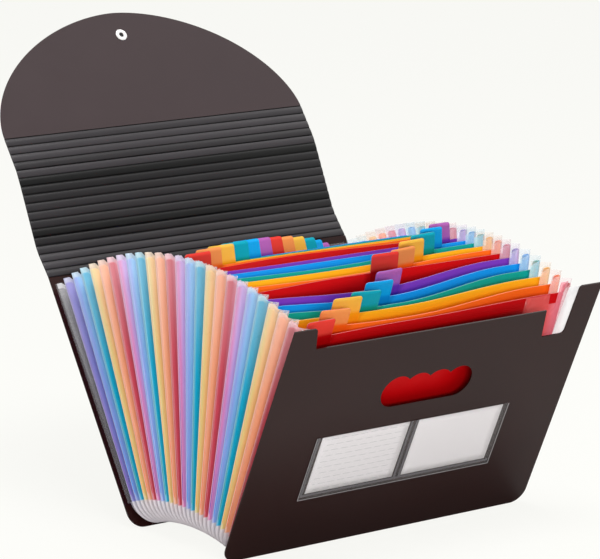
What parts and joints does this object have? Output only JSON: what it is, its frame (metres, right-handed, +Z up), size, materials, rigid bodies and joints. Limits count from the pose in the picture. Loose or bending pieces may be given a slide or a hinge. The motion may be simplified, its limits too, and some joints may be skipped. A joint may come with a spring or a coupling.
{
  "type": "accordion file folder",
  "caption": "Free-standing accordion file folder: fanned coloured tabbed dividers between black covers with frosted pleats, a ribbed folding lid, hand hole and label sleeve.",
  "frame": {"origin": "on the table, midway between the lower edges of the front and back covers and midway across the width", "axes": "+X along the width, to the right seen from the front; +Y from the front cover to the back cover; +Z up"},
  "size_m": [0.33, 0.4925, 0.4047],
  "materials": {
    "cover_plastic": "satin black-brown polypropylene sheet with a fine grain",
    "frosted_film": "frosted translucent polypropylene film",
    "clear_film": "clear glossy film with welded seams",
    "card_paper": "white index card",
    "white_plastic": "moulded white plastic",
    "button_plastic": "moulded black plastic",
    "red_sheet": "translucent red polypropylene sheet",
    "orange_sheet": "translucent orange polypropylene sheet",
    "yellow_sheet": "translucent yellow polypropylene sheet",
    "green_sheet": "translucent green polypropylene sheet",
    "blue_sheet": "translucent blue polypropylene sheet",
    "purple_sheet": "translucent purple polypropylene sheet"
  },
  "bodies": {
    "pleats": {"divider_11": "blue_sheet", "left_gusset": "frosted_film", "right_gusset": "frosted_film", "bottom_gusset": "frosted_film"},
    "front_cover": {"front_cover": "cover_plastic", "label_sleeve": "clear_film", "lined_card": "card_paper", "plain_card": "card_paper"},
    "back_cover": {"back_cover": "cover_plastic"},
    "divider_01": {"divider_01": "red_sheet"},
    "divider_02": {"divider_02": "orange_sheet"},
    "divider_03": {"divider_03": "yellow_sheet"},
    "divider_04": {"divider_04": "green_sheet"},
    "divider_05": {"divider_05": "blue_sheet"},
    "divider_06": {"divider_06": "purple_sheet"},
    "divider_07": {"divider_07": "red_sheet"},
    "divider_08": {"divider_08": "orange_sheet"},
    "divider_09": {"divider_09": "yellow_sheet"},
    "divider_10": {"divider_10": "green_sheet"},
    "divider_12": {"divider_12": "purple_sheet"},
    "divider_13": {"divider_13": "red_sheet"},
    "divider_14": {"divider_14": "orange_sheet"},
    "divider_15": {"divider_15": "yellow_sheet"},
    "divider_16": {"divider_16": "green_sheet"},
    "divider_17": {"divider_17": "blue_sheet"},
    "divider_18": {"divider_18": "purple_sheet"},
    "divider_19": {"divider_19": "red_sheet"},
    "divider_20": {"divider_20": "orange_sheet"},
    "divider_21": {"divider_21": "yellow_sheet"},
    "divider_22": {"divider_22": "green_sheet"},
    "divider_23": {"divider_23": "blue_sheet"},
    "divider_24": {"divider_24": "purple_sheet"},
    "lid_back_ribs": {"lid_back_ribs": "cover_plastic"},
    "lid_front_ribs": {"lid_front_ribs": "cover_plastic"},
    "lid_flap": {"lid_flap": "cover_plastic", "closure_washer": "white_plastic", "closure_button": "button_plastic"}
  },
  "joints": [
    {"name": "accordion_fold", "type": "hinge", "parent": "pleats", "child": "back_cover", "pos_m": [0, -0.00974, -0.0794], "axis": [1, 0, 0], "range_deg": [0, 31.86], "deforming": ["left_gusset", "right_gusset", "bottom_gusset"]},
    {"name": "front_cover_swing", "type": "hinge", "parent": "pleats", "child": "front_cover", "pos_m": [0, -0.00974, -0.0794], "axis": [1, 0, 0], "range_deg": [-25.04, 0]},
    {"name": "divider_01_swing", "type": "hinge", "parent": "pleats", "child": "divider_01", "pos_m": [0, -0.00974, -0.0794], "axis": [1, 0, 0], "range_deg": [-22.76, 0]},
    {"name": "divider_02_swing", "type": "hinge", "parent": "pleats", "child": "divider_02", "pos_m": [0, -0.00974, -0.0794], "axis": [1, 0, 0], "range_deg": [-20.48, 0]},
    {"name": "divider_03_swing", "type": "hinge", "parent": "pleats", "child": "divider_03", "pos_m": [0, -0.00974, -0.0794], "axis": [1, 0, 0], "range_deg": [-18.21, 0]},
    {"name": "divider_04_swing", "type": "hinge", "parent": "pleats", "child": "divider_04", "pos_m": [0, -0.00974, -0.0794], "axis": [1, 0, 0], "range_deg": [-15.93, 0]},
    {"name": "divider_05_swing", "type": "hinge", "parent": "pleats", "child": "divider_05", "pos_m": [0, -0.00974, -0.0794], "axis": [1, 0, 0], "range_deg": [-13.66, 0]},
    {"name": "divider_06_swing", "type": "hinge", "parent": "pleats", "child": "divider_06", "pos_m": [0, -0.00974, -0.0794], "axis": [1, 0, 0], "range_deg": [-11.38, 0]},
    {"name": "divider_07_swing", "type": "hinge", "parent": "pleats", "child": "divider_07", "pos_m": [0, -0.00974, -0.0794], "axis": [1, 0, 0], "range_deg": [-9.1, 0]},
    {"name": "divider_08_swing", "type": "hinge", "parent": "pleats", "child": "divider_08", "pos_m": [0, -0.00974, -0.0794], "axis": [1, 0, 0], "range_deg": [-6.83, 0]},
    {"name": "divider_09_swing", "type": "hinge", "parent": "pleats", "child": "divider_09", "pos_m": [0, -0.00974, -0.0794], "axis": [1, 0, 0], "range_deg": [-4.55, 0]},
    {"name": "divider_10_swing", "type": "hinge", "parent": "pleats", "child": "divider_10", "pos_m": [0, -0.00974, -0.0794], "axis": [1, 0, 0], "range_deg": [-2.28, 0]},
    {"name": "divider_12_swing", "type": "hinge", "parent": "pleats", "child": "divider_12", "pos_m": [0, -0.00974, -0.0794], "axis": [1, 0, 0], "range_deg": [0, 2.28]},
    {"name": "divider_13_swing", "type": "hinge", "parent": "pleats", "child": "divider_13", "pos_m": [0, -0.00974, -0.0794], "axis": [1, 0, 0], "range_deg": [0, 4.55]},
    {"name": "divider_14_swing", "type": "hinge", "parent": "pleats", "child": "divider_14", "pos_m": [0, -0.00974, -0.0794], "axis": [1, 0, 0], "range_deg": [0, 6.83]},
    {"name": "divider_15_swing", "type": "hinge", "parent": "pleats", "child": "divider_15", "pos_m": [0, -0.00974, -0.0794], "axis": [1, 0, 0], "range_deg": [0, 9.1]},
    {"name": "divider_16_swing", "type": "hinge", "parent": "pleats", "child": "divider_16", "pos_m": [0, -0.00974, -0.0794], "axis": [1, 0, 0], "range_deg": [0, 11.38]},
    {"name": "divider_17_swing", "type": "hinge", "parent": "pleats", "child": "divider_17", "pos_m": [0, -0.00974, -0.0794], "axis": [1, 0, 0], "range_deg": [0, 13.66]},
    {"name": "divider_18_swing", "type": "hinge", "parent": "pleats", "child": "divider_18", "pos_m": [0, -0.00974, -0.0794], "axis": [1, 0, 0], "range_deg": [0, 15.93]},
    {"name": "divider_19_swing", "type": "hinge", "parent": "pleats", "child": "divider_19", "pos_m": [0, -0.00974, -0.0794], "axis": [1, 0, 0], "range_deg": [0, 18.21]},
    {"name": "divider_20_swing", "type": "hinge", "parent": "pleats", "child": "divider_20", "pos_m": [0, -0.00974, -0.0794], "axis": [1, 0, 0], "range_deg": [0, 20.48]},
    {"name": "divider_21_swing", "type": "hinge", "parent": "pleats", "child": "divider_21", "pos_m": [0, -0.00974, -0.0794], "axis": [1, 0, 0], "range_deg": [0, 22.76]},
    {"name": "divider_22_swing", "type": "hinge", "parent": "pleats", "child": "divider_22", "pos_m": [0, -0.00974, -0.0794], "axis": [1, 0, 0], "range_deg": [0, 25.04]},
    {"name": "divider_23_swing", "type": "hinge", "parent": "pleats", "child": "divider_23", "pos_m": [0, -0.00974, -0.0794], "axis": [1, 0, 0], "range_deg": [0, 27.31]},
    {"name": "divider_24_swing", "type": "hinge", "parent": "pleats", "child": "divider_24", "pos_m": [0, -0.00974, -0.0794], "axis": [1, 0, 0], "range_deg": [0, 29.59]},
    {"name": "lid_fold", "type": "hinge", "parent": "back_cover", "child": "lid_back_ribs", "pos_m": [0, 0.18939, 0.19917], "axis": [1, 0, 0], "range_deg": [0, 96]},
    {"name": "lid_front_fold", "type": "hinge", "parent": "lid_back_ribs", "child": "lid_front_ribs", "pos_m": [0, 0.21198, 0.23071], "axis": [1, 0, 0], "range_deg": [0, 76]},
    {"name": "lid_flap_fold", "type": "hinge", "parent": "lid_front_ribs", "child": "lid_flap", "pos_m": [0, 0.23895, 0.28695], "axis": [1, 0, 0], "range_deg": [0, 13]}
  ],
  "couplings": [
    {"joint": "front_cover_swing", "follows": "accordion_fold", "ratio": -0.78571},
    {"joint": "divider_01_swing", "follows": "accordion_fold", "ratio": -0.71429},
    {"joint": "divider_02_swing", "follows": "accordion_fold", "ratio": -0.64286},
    {"joint": "divider_03_swing", "follows": "accordion_fold", "ratio": -0.57143},
    {"joint": "divider_04_swing", "follows": "accordion_fold", "ratio": -0.5},
    {"joint": "divider_05_swing", "follows": "accordion_fold", "ratio": -0.42857},
    {"joint": "divider_06_swing", "follows": "accordion_fold", "ratio": -0.35714},
    {"joint": "divider_07_swing", "follows": "accordion_fold", "ratio": -0.28571},
    {"joint": "divider_08_swing", "follows": "accordion_fold", "ratio": -0.21429},
    {"joint": "divider_09_swing", "follows": "accordion_fold", "ratio": -0.14286},
    {"joint": "divider_10_swing", "follows": "accordion_fold", "ratio": -0.071429},
    {"joint": "divider_12_swing", "follows": "accordion_fold", "ratio": 0.071429},
    {"joint": "divider_13_swing", "follows": "accordion_fold", "ratio": 0.14286},
    {"joint": "divider_14_swing", "follows": "accordion_fold", "ratio": 0.21429},
    {"joint": "divider_15_swing", "follows": "accordion_fold", "ratio": 0.28571},
    {"joint": "divider_16_swing", "follows": "accordion_fold", "ratio": 0.35714},
    {"joint": "divider_17_swing", "follows": "accordion_fold", "ratio": 0.42857},
    {"joint": "divider_18_swing", "follows": "accordion_fold", "ratio": 0.5},
    {"joint": "divider_19_swing", "follows": "accordion_fold", "ratio": 0.57143},
    {"joint": "divider_20_swing", "follows": "accordion_fold", "ratio": 0.64286},
    {"joint": "divider_21_swing", "follows": "accordion_fold", "ratio": 0.71429},
    {"joint": "divider_22_swing", "follows": "accordion_fold", "ratio": 0.78571},
    {"joint": "divider_23_swing", "follows": "accordion_fold", "ratio": 0.85714},
    {"joint": "divider_24_swing", "follows": "accordion_fold", "ratio": 0.92857},
    {"joint": "lid_front_fold", "follows": "accordion_fold", "ratio": 2.3851},
    {"joint": "lid_flap_fold", "follows": "accordion_fold", "ratio": 0.40798}
  ]
}
